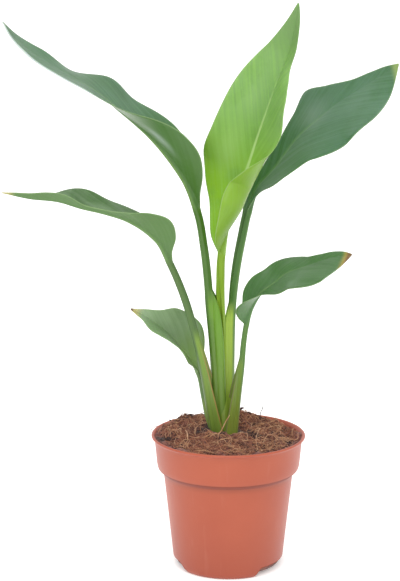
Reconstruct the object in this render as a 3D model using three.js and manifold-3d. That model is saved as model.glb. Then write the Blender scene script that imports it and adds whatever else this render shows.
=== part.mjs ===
// A young bird of paradise in its nursery pot: six leaves clasped together at the foot,
// coir potting mix and a thin-walled pot of 12 cm. Millimetres, +Z up, the origin is the
// centre of the pot's underside on the ground, and the front is -Y.
import * as THREE from "three";
import { mergeVertices } from "three/addons/utils/BufferGeometryUtils.js";
import Module from "manifold-3d";

const wasm = await Module();
wasm.setup();

// Driving dimensions
const rimRadius = 60;
const potHeight = 105;
const collarFoot = 79;
const bodyTopRadius = 50.4;
const footRadius = 41;
const wall = 1.4;
const recessHeight = 6.8;
const recessInner = 30;
const recesses = [{ turn: -13, half: 48, step: 8 }, { turn: 167, half: 54, step: 14 }];
const drainTurns = [-37, 11, 143, 191];
const drainRadius = 4;
const drainCentre = 35.5;
const potSides = 56;
const soilLevel = 102.6;
const gap = 0.3;
const clumpX = -4.3;
const clumpY = 3.5;
const clumpRadius = 13.6;
const clumpFloor = 78.6;
const bladeEdge = 0.7;
const leafClearance = 0.35;
const strandCount = 32;
const strandRadius = 0.45;

const rad = THREE.MathUtils.degToRad;
const clamp = THREE.MathUtils.clamp;
const lerp = THREE.MathUtils.lerp;

// The same draw every time, from a seed.
function randomFrom(seed) {
  let state = seed;
  return () => {
    state = (state * 1664525 + 1013904223) % 4294967296;
    return state / 4294967296;
  };
}

// ---------------------------------------------------------------- solids and geometries
function solidOf(geometry) {
  const bare = new THREE.BufferGeometry();
  bare.setAttribute("position", geometry.getAttribute("position"));
  if (geometry.index) bare.setIndex(geometry.index);
  const merged = mergeVertices(bare, 1e-4);
  const solid = new wasm.Manifold(
    new wasm.Mesh({
      numProp: 3,
      vertProperties: new Float32Array(merged.getAttribute("position").array),
      triVerts: new Uint32Array(merged.index.array),
    }),
  );
  return solid;
}

function geometryOf(solid) {
  const mesh = solid.getMesh();
  const geometry = new THREE.BufferGeometry();
  geometry.setAttribute("position", new THREE.BufferAttribute(mesh.vertProperties, 3));
  geometry.setIndex(new THREE.BufferAttribute(mesh.triVerts, 1));
  geometry.computeVertexNormals();
  return geometry;
}

// What is left of a solid once its loose scraps are dropped.
function largestBody(solid) {
  return solid.decompose().reduce((a, b) => (b.volume() > a.volume() ? b : a));
}

// A closed skin over rings of equal count. The end rings are filled by a strip across,
// from each point to the one that faces it from the other end of the list.
function loft(rings) {
  const count = rings[0].length;
  const last = (rings.length - 1) * count;
  const faces = [];
  for (let i = 0; i < last; i += count)
    for (let j = 0; j < count; j++) {
      const a = i + j;
      const b = i + ((j + 1) % count);
      faces.push(a, b, b + count, a, b + count, a + count);
    }
  for (let a = 0, b = count - 1; a + 1 < b; a++, b--) {
    faces.push(a, b, a + 1, last + a, last + a + 1, last + b);
    if (a + 1 < b - 1) faces.push(a + 1, b, b - 1, last + a + 1, last + b - 1, last + b);
  }
  const geometry = new THREE.BufferGeometry();
  const values = rings.flat().flatMap((p) => [p.x, p.y, p.z]);
  geometry.setAttribute("position", new THREE.Float32BufferAttribute(values, 3));
  geometry.setIndex(faces);
  return geometry;
}

// The loft as a solid with its faces outwards, whichever way its rings run.
function loftSolid(rings) {
  const solid = solidOf(loft(rings));
  return solid.volume() > 0 ? solid : solidOf(loft([...rings].reverse()));
}

function latheSolid(outline) {
  const points = outline.map(([r, z]) => new THREE.Vector2(r, z));
  const geometry = new THREE.LatheGeometry(points, potSides);
  geometry.rotateX(Math.PI / 2);
  geometry.deleteAttribute("normal");
  geometry.deleteAttribute("uv");
  return solidOf(geometry);
}

// ---------------------------------------------------------------- pot
// The moulded wall from the ground to the rolled lip, and the room inside it.
const outside = [
  [0, 0], [footRadius - 1.4, 0], [footRadius, 0.8], [42.2, 3], [43.1, 8],
  [bodyTopRadius, collarFoot - 4], [54.4, collarFoot - 0.8], [55.3, collarFoot + 0.2],
  [57.4, potHeight - 2.8], [58.8, potHeight - 2.2], [rimRadius - 0.2, potHeight - 1.8],
  [rimRadius, potHeight - 1.3], [rimRadius, potHeight - 0.6], [rimRadius - 0.6, potHeight],
];
const inside = [
  [rimRadius - 1.8, potHeight], [rimRadius - 2.4, potHeight - 0.6], [56, potHeight - 3.2],
  [55.3 - wall, collarFoot + 0.8], [bodyTopRadius - wall, collarFoot - 3.2],
  [43.1 - wall, 8.2], [42.2 - wall - 0.3, 3.6], [footRadius - wall - 0.8, wall], [0, wall],
];

// The room inside, drawn in from the wall by a gap, and open upwards to the given height.
function roomOutline(inset, top) {
  const below = [...inside].reverse().map(([r, z]) => [Math.max(r - inset, 0), z]);
  below[0][1] += inset;
  below[1][1] += inset;
  return [...below, [rimRadius - 1.4, top], [0, top]];
}

// Blocks over the parts of the ring where the foot is raised, with sloped ends.
function recess(grow, top) {
  return recesses.map(({ turn, half, step }) => {
    const ring = (z, angle) => {
      const inner = [];
      const outer = [];
      for (let k = -4; k <= 4; k++) {
        const a = rad(turn + (angle * k) / 4);
        const near = recessInner - grow;
        inner.push(new THREE.Vector3(near * Math.cos(a), near * Math.sin(a), z));
        outer.unshift(new THREE.Vector3(56 * Math.cos(a), 56 * Math.sin(a), z));
      }
      return [...inner, ...outer];
    };
    const wider = (grow / footRadius) * (180 / Math.PI);
    return loftSolid([ring(-2, half + wider), ring(top, half + wider - step)]);
  });
}

const cutAll = (solid, others) => others.reduce((left, other) => left.subtract(other), solid);

const drains = drainTurns.map((turn) => {
  const drain = new THREE.CylinderGeometry(drainRadius, drainRadius, 12, 24);
  drain.rotateX(Math.PI / 2);
  const a = rad(turn);
  drain.translate(drainCentre * Math.cos(a), drainCentre * Math.sin(a), recessHeight);
  drain.deleteAttribute("normal");
  drain.deleteAttribute("uv");
  return solidOf(drain);
});

const shell = latheSolid([...outside, ...inside]);
const raisedFloor = recess(wall, recessHeight + wall).map((block) =>
  block.intersect(latheSolid([...outside, [0, potHeight]])));
const pot = cutAll(
  raisedFloor.reduce((all, block) => all.add(block), shell),
  [...recess(0, recessHeight), ...drains],
);

// ---------------------------------------------------------------- leaves
// A smooth value at t from rows [t, value, ...] or [t, x, y, z], by cubic pieces whose
// slopes at the keys are weighted means of the slopes on both sides.
function smooth(keys, t) {
  const at = clamp(t, keys[0][0], keys[keys.length - 1][0]);
  let i = 0;
  while (i < keys.length - 2 && at >= keys[i + 1][0]) i++;
  const rise = (j, k) => (keys[j + 1][k] - keys[j][k]) / (keys[j + 1][0] - keys[j][0]);
  const slope = (j, k) => {
    if (j === 0) return rise(0, k);
    if (j === keys.length - 1) return rise(j - 1, k);
    const before = keys[j][0] - keys[j - 1][0];
    const after = keys[j + 1][0] - keys[j][0];
    return (rise(j - 1, k) * after + rise(j, k) * before) / (before + after);
  };
  const h = keys[i + 1][0] - keys[i][0];
  const s = (at - keys[i][0]) / h;
  const a = 2 * s ** 3 - 3 * s * s;
  return keys[i].slice(1).map((start, n) => {
    const k = n + 1;
    return (1 + a) * start + (s ** 3 - 2 * s * s + s) * h * slope(i, k)
      - a * keys[i + 1][k] + (s ** 3 - s * s) * h * slope(i + 1, k);
  });
}

// Places along the blade, from its neck to its tip, where a leaf's lifts and curls are
// given, the closer ones for its half widths, and the places across each half where its
// section has a point.
const bladePlaces = [0, 0.1, 0.25, 0.45, 0.65, 0.85, 1];
const marginPlaces = [0, 0.05, 0.1, 0.17, 0.25, 0.35, 0.45, 0.55, 0.65, 0.75, 0.85, 0.93, 1];
const acrossPlaces = [0, 0.12, 0.3, 0.55, 0.8, 1];
const stalkStations = 13;
const bladeStations = 22;

// Each leaf is a line of points up its stalk and along its blade, the way its upper side
// faces at places from -1 at the foot through 0 at the neck to 1 at the tip, and for each
// half of the blade its width, the angle that it lifts off flat beside the midrib and the
// angle that it turns further towards its margin. A sheath is an arc, of the given radii at
// its top and its foot, that wraps both ways round the younger leaves and closes up to the
// stalk at its top, in a shorter stretch the higher its speed is.
const leaves = [
  {
    name: "leaf_centre", color: 0x8cb84f,
    stalk: [[-4, 1.5, 79], [-4, 1.5, 105], [-5, 1.5, 147], [-6, 1, 195], [-7, 0, 226]],
    blade: [[-6, 0, 248], [-3, 0, 264], [4, 4, 284], [10, 8, 300], [15, 8, 315], [21, 8, 334],
      [28, 6, 355], [35, 2, 376], [44, -6, 402], [48, -12, 421], [50, -18, 437]],
    face: [[-1, 0, -1, 0], [-0.3, 0, -1, 0], [0, -0.9, -0.3, 0.1], [0.12, -0.95, -0.2, 0.3],
      [0.27, -0.8, -0.45, 0.4], [0.45, -0.5, -0.86, 0.12], [0.7, -0.5, -0.86, 0],
      [1, -0.5, -0.86, -0.1]],
    halfLeft: [2.6, 10, 14, 20, 29, 36, 36, 34, 30, 22, 13, 6, 0.4],
    halfRight: [2.6, 15, 27.5, 39, 40, 43.5, 36, 39, 27, 9, 10, 6, 0.4],
    liftLeft: [40, 45, 38, 36, 32, 20, 20], liftRight: [40, -18, -31, 18, 38, 34, 20],
    curlLeft: [20, 20, 15, 8, 4, 0, 0], curlRight: [20, 102, 156, 52, 4, 0, 0],
    waveLeft: [0.8, 3, 0.1], waveRight: [2.2, 3.2, 0.35],
    rib: [2.4, 3.9], sheath: { top: 130, speed: 1.5, radius: [2.2, 2.2], wrap: 60, body: [2.6, 4] },
  },
  {
    name: "leaf_upper_left", color: 0x4f8a4a,
    stalk: [[-7.9, 3.5, 79], [-8.3, 3.5, 105], [-9.6, 2, 136], [-11, 1, 172], [-14, 2, 211],
      [-18, 4, 250]],
    blade: [[-24, 4, 281], [-30, 4, 295], [-43, 2, 316], [-61, 0, 338], [-82, -4, 357],
      [-104, -8, 375], [-126, -10, 388], [-148, -10, 402], [-161, -8, 413], [-168, -6, 423]],
    face: [[-1, 1, 0, 0], [-0.3, 1, -0.1, 0.2], [0, 1, 0, 0.5], [0.3, 0.8, 0.05, 0.75],
      [0.6, 0.6, -0.1, 0.8], [1, 0.6, -0.1, 0.8]],
    halfLeft: [3, 8, 16, 24, 25, 22, 20, 20, 20, 16, 11, 6, 0.4],
    halfRight: [3, 7, 14, 21, 24, 25, 25, 27, 18, 13, 12, 10, 0.4],
    liftLeft: [40, 48, 45, 8, -3, -3, 0], liftRight: [40, 48, 42, 26, 12, 10, 10],
    curlLeft: [20, 25, 25, 25, 5, 0, 0], curlRight: [20, 25, 15, 5, -5, 0, 0],
    waveLeft: [1, 3, 0.2], waveRight: [2.2, 3.7, 0.215],
    rib: [2.8, 4.6], sheath: { top: 218, speed: 9, radius: [4.6, 3.9], wrap: 140, body: [4.5, 2.2] },
  },
  {
    name: "leaf_upper_right", color: 0x3f7a52,
    stalk: [[2.4, 3.5, 79], [2.6, 3.5, 107], [1.8, 4.5, 135], [1.4, 7, 170], [2, 12, 200],
      [5, 16, 231], [10, 20, 258]],
    blade: [[14, 22, 276], [23, 24, 296], [33, 24, 307], [54, 22, 335], [69, 18, 349], [80, 14, 359],
      [98, 6, 372], [116, -4, 385], [125, -10, 392]],
    face: [[-1, -1, 0, 0], [-0.45, -1, -0.05, 0.05], [-0.25, -0.9, -0.4, 0.1],
      [0, -0.7, -0.8, 0.4], [0.4, -0.52, -0.8, 0.38], [1, -0.5, -0.8, 0.32]],
    halfLeft: [3, 5, 5, 7, 10, 11, 17, 27, 18, 11, 8, 5, 0.4],
    halfRight: [3, 5, 8, 16, 20, 26, 35, 40, 41, 39, 33, 20, 0.4],
    liftLeft: [40, 20, 5, 0, 0, -10, 0], liftRight: [40, 25, 22, 20, 20, 20, 10],
    curlLeft: [20, 10, 5, -5, -5, 0, 0], curlRight: [20, 10, 5, 0, 0, 0, 0],
    waveLeft: [0.8, 2.5, 0.3], waveRight: [1.2, 3.5, 0.6],
    rib: [2.6, 4.2], sheath: { top: 206, speed: 4, radius: [5.6, 6], wrap: 110, body: [5, 2.2] },
  },
  {
    name: "leaf_mid_left", color: 0x558d4e,
    stalk: [[-10.8, 2.5, 79], [-11.5, 2.5, 105], [-15, -1, 130], [-19.4, -6, 160], [-26, -9, 190],
      [-33, -12, 215]],
    blade: [[-45, -17, 245], [-53, -20, 259], [-63, -23, 269], [-78, -26, 278], [-93, -28, 283],
      [-111, -28, 287], [-126, -26, 291], [-149, -22, 293], [-170, -18, 297]],
    face: [[-1, 1, 0, 0], [-0.3, 1, -0.2, 0.3], [0, 0.8, 0, 0.8], [0.2, 0.5, 0.3, 0.8],
      [0.45, 0.3, -0.1, 1], [1, 0.1, 0, 1]],
    halfLeft: [3, 7, 15, 21, 18, 9, 4, 4, 9, 8, 5, 3, 0.4],
    halfRight: [3, 7, 14, 18, 19, 18, 17, 18, 17, 11, 6, 3, 0.4],
    liftLeft: [40, 40, 35, 45, 65, 65, 50], liftRight: [40, 40, 25, 30, 28, 15, 5],
    curlLeft: [20, 25, 15, 10, 0, 0, 0], curlRight: [20, 25, 15, 0, 0, 0, 0],
    waveLeft: [0.8, 2.5, 0], waveRight: [2, 3, 0.51],
    rib: [2.5, 4], sheath: { top: 180, speed: 1, radius: [7.8, 7.8], wrap: 105, body: [5, 2.2] },
  },
  {
    name: "leaf_lower_right", color: 0x4f8550,
    stalk: [[4.9, 2.5, 79], [5.1, 1.5, 105], [7, -5, 135], [9.4, -12, 163], [11, -15, 183]],
    blade: [[13, -18, 197], [17, -20, 209], [23, -21, 220], [34, -22, 229], [43, -24, 237],
      [52, -26, 241], [61, -30, 245], [75, -36, 251], [90, -44, 255]],
    face: [[-1, -1, 0, 0], [-0.3, -1, -0.1, 0.1], [0, -0.95, 0, 0.4], [0.12, -0.9, -0.1, 0.4],
      [0.3, -0.6, -0.6, 0.65], [0.6, -0.45, -0.6, 0.75], [1, -0.3, -0.6, 0.8]],
    halfLeft: [2.4, 6, 10, 15, 16, 15, 17, 16, 9, 6, 6, 4, 0.4],
    halfRight: [2.4, 11, 17, 20, 15, 18, 20, 27, 29, 29, 27, 16, 0.4],
    liftLeft: [40, 36, 15, -5, -5, 0, 10], liftRight: [40, 38, 30, 18, 18, 15, 5],
    curlLeft: [20, 10, 10, 0, 0, 0, 0], curlRight: [20, 20, 10, 5, 0, 0, 0],
    waveLeft: [1.6, 2.8, 0.2], waveRight: [1, 3, 0.5],
    rib: [2.1, 3.3], sheath: { top: 168, speed: 1.5, radius: [8.2, 8], wrap: 95, body: [5, 2.1] },
  },
  {
    name: "leaf_lower_left", color: 0x5a8f55,
    stalk: [[-11.2, 6.5, 79], [-12.4, 7, 105], [-16, 8.5, 117], [-19, 12, 133]],
    blade: [[-23, 15, 150], [-30, 16, 161], [-38, 14, 172], [-47, 10, 183], [-57, 6, 192],
      [-66, 3, 199], [-75, 0, 204]],
    face: [[-1, 1, -0.3, 0], [-0.3, 0.8, -0.6, 0.2], [0, 0.6, -0.7, 0.35], [0.5, 0.6, -0.7, 0.35],
      [1, 0.45, -0.85, 0.25]],
    halfLeft: [2, 6, 9, 15, 20, 22, 20, 16, 16, 14, 6, 3, 0.4],
    halfRight: [2, 5, 9, 14, 19, 23, 23, 21, 18, 10, 5, 2, 0.4],
    liftLeft: [40, 40, 42, 44, 40, 30, 30], liftRight: [40, 38, 38, 36, 34, 30, 30],
    curlLeft: [20, 10, 10, 10, 8, 0, 0], curlRight: [20, 10, 0, 0, 0, 0, 0],
    waveLeft: [0.6, 2.5, 0.3], waveRight: [1, 2.5, 0.6],
    rib: [1.6, 2.6], sheath: { top: 132, speed: 1.3, radius: [9, 9], wrap: 45, body: [4, 1.8] },
  },
];

// The line of a leaf as rows [t, x, y, z]: its stalk takes t from -1 to 0 and its blade
// from 0 to 1, each by the distance between the points.
function lineOf(leaf) {
  const spaced = (points, from) => {
    const reach = [0];
    for (let i = 1; i < points.length; i++)
      reach.push(reach[i - 1] + Math.hypot(...points[i].map((v, k) => v - points[i - 1][k])));
    return points.map((p, i) => [from + reach[i] / reach[points.length - 1], ...p]);
  };
  return [...spaced([...leaf.stalk, leaf.blade[0]], -1).slice(0, -1), ...spaced(leaf.blade, 0)];
}

// How far down from the sheath's top a place on the stalk is: 0 there and 1 at the foot.
function sheathShare(leaf, line, t) {
  if (t >= 0) return 0;
  const i = line.findIndex((row) => row[3] >= leaf.sheath.top);
  const [a, b] = [line[i - 1], line[i]];
  const top = lerp(a[0], b[0], (leaf.sheath.top - a[3]) / (b[3] - a[3]));
  return clamp((top - t) / (top + 1), 0, 1);
}

// The section of a leaf at t as one ring: over its upper side from the left margin to
// the right one, and back under its lower side. Grown, it is the leaf with a clear
// space round it.
function sectionOf(leaf, line, t, grow) {
  const point = new THREE.Vector3(...smooth(line, t));
  const along = new THREE.Vector3(...smooth(line, Math.min(t + 0.001, 1)))
    .sub(new THREE.Vector3(...smooth(line, Math.max(t - 0.001, -1)))).normalize();
  const up = new THREE.Vector3(...smooth(leaf.face, t));
  up.addScaledVector(along, -up.dot(along)).normalize();
  const right = new THREE.Vector3().crossVectors(along, up);
  const share = sheathShare(leaf, line, t);
  const blade = (list, places = bladePlaces) => smooth(list.map((v, i) => [places[i], v]), t)[0];
  const [ribHalf, ribDepth] = leaf.rib;
  const { speed, radius, wrap, body } = leaf.sheath;
  const opening = 1 - (1 - share) ** speed;
  const bodyHalf = t < 0 ? lerp(ribHalf, body[0], share) : ribHalf * (1 - 0.75 * t) + 0.2;
  const bodyDepth = t < 0 ? lerp(ribDepth, body[1], share)
    : ribDepth * (0.6 * (1 - t) ** 1.2 + 0.4 * (1 - Math.min(t / 0.12, 1))) + 0.2;
  const upper = [];
  const lower = [];
  for (const side of [-1, 1]) {
    const word = side < 0 ? "Left" : "Right";
    const width = t < 0
      ? lerp(ribHalf, lerp(radius[0], radius[1], share) * rad(wrap), opening)
      : blade(leaf["half" + word], marginPlaces);
    const lift = rad(t < 0 ? 38 * (1 - opening) : blade(leaf["lift" + word]));
    const curl = rad(t < 0 ? lerp(20, wrap, opening) : blade(leaf["curl" + word])) + 1e-6;
    const [height, count, phase] = leaf["wave" + word];
    for (const a of acrossPlaces) {
      const turned = lift + curl * a;
      const out = (width / curl) * (Math.sin(turned) - Math.sin(lift));
      const rise = (width / curl) * (Math.cos(lift) - Math.cos(turned));
      const normal = up.clone().multiplyScalar(Math.cos(turned))
        .addScaledVector(right, -side * Math.sin(turned));
      const outwards = right.clone().multiplyScalar(side * Math.cos(turned))
        .addScaledVector(up, Math.sin(turned));
      const wave = t > 0
        ? height * Math.sin(2 * Math.PI * (count * t + phase)) * a * a * Math.sin(Math.PI * t) ** 0.7
        : 0;
      const depth = bladeEdge + Math.max(bodyDepth - bladeEdge, 0)
        * Math.sqrt(Math.max(0, 1 - Math.min((a * width) / bodyHalf, 1) ** 2));
      const top = point.clone().addScaledVector(right, side * out).addScaledVector(up, rise)
        .addScaledVector(normal, wave);
      const under = top.clone().addScaledVector(normal, -depth - grow);
      top.addScaledVector(normal, grow);
      if (a === 1) for (const p of [top, under]) p.addScaledVector(outwards, grow);
      if (a === 0 && side > 0) continue;
      if (side < 0) { upper.unshift(top); lower.push(under); }
      else { upper.push(top); lower.unshift(under); }
    }
  }
  return [...upper, ...lower];
}

function leafSolid(leaf, grow) {
  const line = lineOf(leaf);
  const rings = [];
  for (let i = 0; i < stalkStations; i++)
    rings.push(sectionOf(leaf, line, -1 + i / stalkStations, grow));
  for (let i = 0; i <= bladeStations; i++)
    rings.push(sectionOf(leaf, line, i / bladeStations, grow));
  return loftSolid(rings);
}

// Younger leaves come first, and each sheath makes way for those inside it.
const grown = leaves.map((leaf) => leafSolid(leaf, leafClearance));
const leafSolids = leaves.map((leaf, i) =>
  largestBody(cutAll(leafSolid(leaf, 0), grown.slice(0, i))));

// ---------------------------------------------------------------- potting mix
// Height of the mix over the ground: higher towards the back left, banked up round the
// stems, with tufts given as [x, y, height, spread] and small clods all over.
const draw = randomFrom(20);
const ripples = Array.from({ length: 14 }, () => [
  0.12 + 0.5 * draw(), 2 * Math.PI * draw(), 2 * Math.PI * draw(), 0.2 + 0.25 * draw(),
]);
const tufts = [
  [clumpX, clumpY, 4.6, 900], [12, 41, 7, 60], [-34, 43, 2.5, 30], [-46, 32, 2, 25],
  [-14, -7, 1.5, 60], [-19, 1, -2, 30], [14, 5, -1.5, 40],
];
function soilHeight(x, y) {
  let height = soilLevel + 3 * clamp((y - x) / 70, -0.2, 0.8);
  for (const [atX, atY, size, spread] of tufts)
    height += size * Math.exp(-((x - atX) ** 2 + (y - atY) ** 2) / spread);
  for (const [pitch, turn, phase, size] of ripples)
    height += size * Math.sin(pitch * (x * Math.cos(turn) + y * Math.sin(turn)) + phase);
  return height;
}

const soilRings = [];
const rowSteps = 20;
for (let i = 0; i <= rowSteps; i++) {
  const x = lerp(-59, 59, i / rowSteps);
  const upper = [];
  const lower = [];
  for (let j = 0; j <= rowSteps; j++) {
    const y = lerp(-59, 59, j / rowSteps);
    upper.push(new THREE.Vector3(x, y, soilHeight(x, y)));
    lower.unshift(new THREE.Vector3(x, y, 0.2));
  }
  soilRings.push([...upper, ...lower]);
}

const clumpHole = new THREE.CylinderGeometry(clumpRadius, clumpRadius - 1, 60, 40);
clumpHole.rotateX(Math.PI / 2);
clumpHole.translate(clumpX, clumpY, clumpFloor + 30);
clumpHole.deleteAttribute("normal");
clumpHole.deleteAttribute("uv");

// A strand of coir: a bent three-sided hair with both ends sunk in the mix.
function strand() {
  const around = 2 * Math.PI * draw();
  const off = lerp(20, 50, Math.sqrt(draw()));
  const heading = 2 * Math.PI * draw();
  const length = lerp(7, 15, draw());
  const bend = lerp(-1.5, 1.5, draw());
  const arch = lerp(1, 3.5, draw());
  const rings = [];
  for (let i = 0; i <= 4; i++) {
    const s = i / 4;
    const turn = heading + bend * (s - 0.5);
    const x = off * Math.cos(around) + length * (s - 0.5) * Math.cos(turn);
    const y = off * Math.sin(around) + length * (s - 0.5) * Math.sin(turn);
    const z = soilHeight(x, y) - 1 + (1 + arch) * Math.sin(Math.PI * s);
    const side = new THREE.Vector3(-Math.sin(turn), Math.cos(turn), 0);
    rings.push([0, 1, 2].map((k) => {
      const a = (2 * Math.PI * k) / 3 + Math.PI / 2;
      return new THREE.Vector3(x, y, z + strandRadius * Math.sin(a))
        .addScaledVector(side, strandRadius * Math.cos(a));
    }));
  }
  return loftSolid(rings);
}

const room = latheSolid(roomOutline(gap, 118));
const strands = Array.from({ length: strandCount }, strand);
const mix = largestBody(cutAll(
  strands.reduce((all, one) => all.add(one), loftSolid(soilRings)).intersect(room),
  [solidOf(clumpHole), ...recess(wall + gap, recessHeight + wall + gap)],
));

// ---------------------------------------------------------------- the plant in its pot
const group = new THREE.Group();
function addPiece(name, solid, color, roughness) {
  const material = new THREE.MeshStandardMaterial({ color, roughness, metalness: 0 });
  const mesh = new THREE.Mesh(geometryOf(solid), material);
  mesh.name = name;
  group.add(mesh);
}

addPiece("pot", pot, 0xc56f56, 0.5);
addPiece("potting_mix", mix, 0x7d5440, 0.95);
leaves.forEach((leaf, i) => addPiece(leaf.name, leafSolids[i], leaf.color, 0.45));

export default group;
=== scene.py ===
import math
import random

import bmesh
import bpy
from mathutils import Matrix, Vector, noise


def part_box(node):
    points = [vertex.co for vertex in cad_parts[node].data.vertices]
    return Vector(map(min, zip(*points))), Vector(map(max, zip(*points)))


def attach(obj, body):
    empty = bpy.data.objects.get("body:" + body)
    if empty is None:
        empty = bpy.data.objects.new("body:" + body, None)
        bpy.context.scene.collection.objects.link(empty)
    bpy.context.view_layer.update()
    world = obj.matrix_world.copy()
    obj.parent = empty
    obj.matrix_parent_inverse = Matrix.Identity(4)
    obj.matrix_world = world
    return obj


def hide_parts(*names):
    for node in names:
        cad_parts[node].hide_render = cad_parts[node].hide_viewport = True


# A young bird of paradise in a 12 cm nursery pot. Sizes are in millimetres unless a note
# says otherwise, and become metres where a mesh is made. The front of the plant is -Y.
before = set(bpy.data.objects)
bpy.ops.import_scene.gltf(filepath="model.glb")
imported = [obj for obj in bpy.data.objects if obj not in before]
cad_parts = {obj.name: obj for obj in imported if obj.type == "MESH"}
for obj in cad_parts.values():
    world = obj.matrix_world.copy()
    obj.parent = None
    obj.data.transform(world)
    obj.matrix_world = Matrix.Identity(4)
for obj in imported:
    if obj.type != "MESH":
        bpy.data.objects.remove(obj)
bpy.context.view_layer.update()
mm = 0.001
print("frame loaded with", len(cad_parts), "nodes")

# The camera has the photograph's view, from the front and a little above.
view = {"place": (-22, -1400, 515), "tilt": 78.04, "lens": 115.92, "sensor": 36}

cameraData = bpy.data.cameras.new("camera")
cameraData.lens = view["lens"]
cameraData.sensor_width = view["sensor"]
camera = bpy.data.objects.new("camera", cameraData)
camera.location = Vector(view["place"]) * mm
camera.rotation_euler = (math.radians(view["tilt"]), 0, 0)
bpy.context.scene.collection.objects.link(camera)
bpy.context.scene.camera = camera
print("camera placed")


def clamp(value, low=0.0, high=1.0):
    return max(low, min(high, value))


def lerp(start, end, share):
    return start + (end - start) * share


def easeStep(value, start, end):
    share = clamp((value - start) / (end - start))
    return share * share * (3 - 2 * share)


# A smooth row of values at t from rows (t, value, ...), by cubic pieces whose slopes at
# the rows are weighted means of the slopes on both sides.
def smoothRow(rows, t):
    at = clamp(t, rows[0][0], rows[-1][0])
    i = 0
    while i < len(rows) - 2 and at >= rows[i + 1][0]:
        i += 1

    def rise(row, column):
        return (rows[row + 1][column] - rows[row][column]) / (rows[row + 1][0] - rows[row][0])

    def slope(row, column):
        if row == 0:
            return rise(0, column)
        if row == len(rows) - 1:
            return rise(row - 1, column)
        before = rows[row][0] - rows[row - 1][0]
        after = rows[row + 1][0] - rows[row][0]
        return (rise(row - 1, column) * after + rise(row, column) * before) / (before + after)

    span = rows[i + 1][0] - rows[i][0]
    share = (at - rows[i][0]) / span
    blend = 2 * share**3 - 3 * share * share
    return [
        (1 + blend) * rows[i][column]
        + (share**3 - 2 * share * share + share) * span * slope(i, column)
        - blend * rows[i + 1][column]
        + (share**3 - share * share) * span * slope(i + 1, column)
        for column in range(1, len(rows[0]))
    ]


def toLinear(hexColour):
    parts = [int(hexColour[i : i + 2], 16) / 255 for i in (1, 3, 5)]
    linear = [p / 12.92 if p <= 0.04045 else ((p + 0.055) / 1.055) ** 2.4 for p in parts]
    return (*linear, 1.0)


# Adds one node. Inputs are values or the sockets that feed it, stops are a ramp's
# places and colours, and settings are the node's own properties.
def addNode(tree, kind, inputs=None, stops=None, **settings):
    node = tree.nodes.new("ShaderNode" + kind)
    for name, value in settings.items():
        setattr(node, name, value)
    for name, value in (inputs or {}).items():
        if isinstance(value, bpy.types.NodeSocket):
            tree.links.new(value, node.inputs[name])
        else:
            node.inputs[name].default_value = value
    if stops:
        elements = node.color_ramp.elements
        while len(elements) < len(stops):
            elements.new(1)
        for element, (place, hexColour) in zip(elements, stops):
            element.position = place
            element.color = toLinear(hexColour)
    return node


# A material with the shader's fixed values, and its tree and shader to build on.
def newMaterial(name, fixed):
    material = bpy.data.materials.new(name)
    material.use_nodes = True
    shader = material.node_tree.nodes["Principled BSDF"]
    for socket, value in fixed.items():
        shader.inputs[socket].default_value = value
    return material, material.node_tree, shader


def makePiece(name, mesh, material, node):
    piece = bpy.data.objects.new(name, mesh)
    bpy.context.scene.collection.objects.link(piece)
    mesh.materials.clear()
    mesh.materials.append(material)
    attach(piece, "root")
    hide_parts(node)


def meshOf(name, bm):
    mesh = bpy.data.meshes.new(name)
    bm.to_mesh(mesh)
    bm.free()
    mesh.shade_smooth()
    return mesh


# The pot is a thin moulded shell with a deep collar, a rolled lip and two raised
# stretches of the foot that let water out.
potLow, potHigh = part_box("pot")
pot = {
    "rimRadius": (potHigh.x - potLow.x) / 2 / mm,
    "height": potHigh.z / mm,
    "collarFoot": 79,
    "bodyTopRadius": 50.4,
    "footRadius": 41,
    "wall": 1.4,
    "recessHeight": 6.8,
    "recessInner": 30,
    # Raised stretches of the foot: angle of the middle, half width and slope of the ends.
    "recesses": ((-13, 48, 8), (167, 54, 14)),
    "liftReach": 14,         # height up the wall over which a raised foot fades out
    "liftTop": 24,           # no point above this height is raised
    "recessStep": 0.2,       # half width of the step at the inner end of a raised stretch
    "underside": 1,          # up to this height a point is on the outside of the floor
    "footBand": 3,           # near the foot's rim raised points also follow the wall
    "drainRadius": 4,
    "drainDepth": 12,
    "drainSides": 32,
    "drainCentre": 35.5,
    "drainTurns": (-37, 11, 143, 191),
    "longEdge": 12,          # edges over this length get coarse steps
    "coarseStep": 3,
    "fineStep": 0.5,
    "softening": 3,          # rounds of smoothing that round the corners off
    "sides": 240,
    "weld": 0.01,            # points closer than this are merged
    "sharpFrom": 50,         # degrees between faces that keep a sharp edge
    # Heights of the shade below the collar: where it rises, deepens and ends.
    "creaseRise": (70, 77),
    "creaseLedge": (74.5, 76),
    "creaseEnd": (79.4, 78.6),
}


# Half of the pot's section, from the middle of the underside over the lip to the middle
# of the floor.
def potOutline():
    rim, top = pot["rimRadius"], pot["height"]
    body, foot = pot["bodyTopRadius"], pot["footRadius"]
    collar, wall, inner = pot["collarFoot"], pot["wall"], pot["recessInner"]
    step = pot["recessStep"]
    outside = [
        (0, 0), (inner - step, 0), (inner + step, 0), (foot - 1.4, 0), (foot, 0.8), (42.2, 3),
        (43.1, 8), (body, collar - 4), (54.4, collar - 0.8), (55.3, collar + 0.2),
        (57.4, top - 2.8), (58.8, top - 2.2), (rim - 0.2, top - 1.8), (rim, top - 1.3),
        (rim, top - 0.6), (rim - 0.6, top),
    ]
    inside = [
        (rim - 1.8, top), (rim - 2.4, top - 0.6), (56, top - 3.2), (55.3 - wall, collar + 0.8),
        (body - wall, collar - 3.2), (43.1 - wall, 8.2), (42.2 - wall - 0.3, 3.6),
        (foot - wall - 0.8, wall), (inner - wall + step, wall), (inner - wall - step, wall),
        (0, wall),
    ]
    return outside, inside


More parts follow.
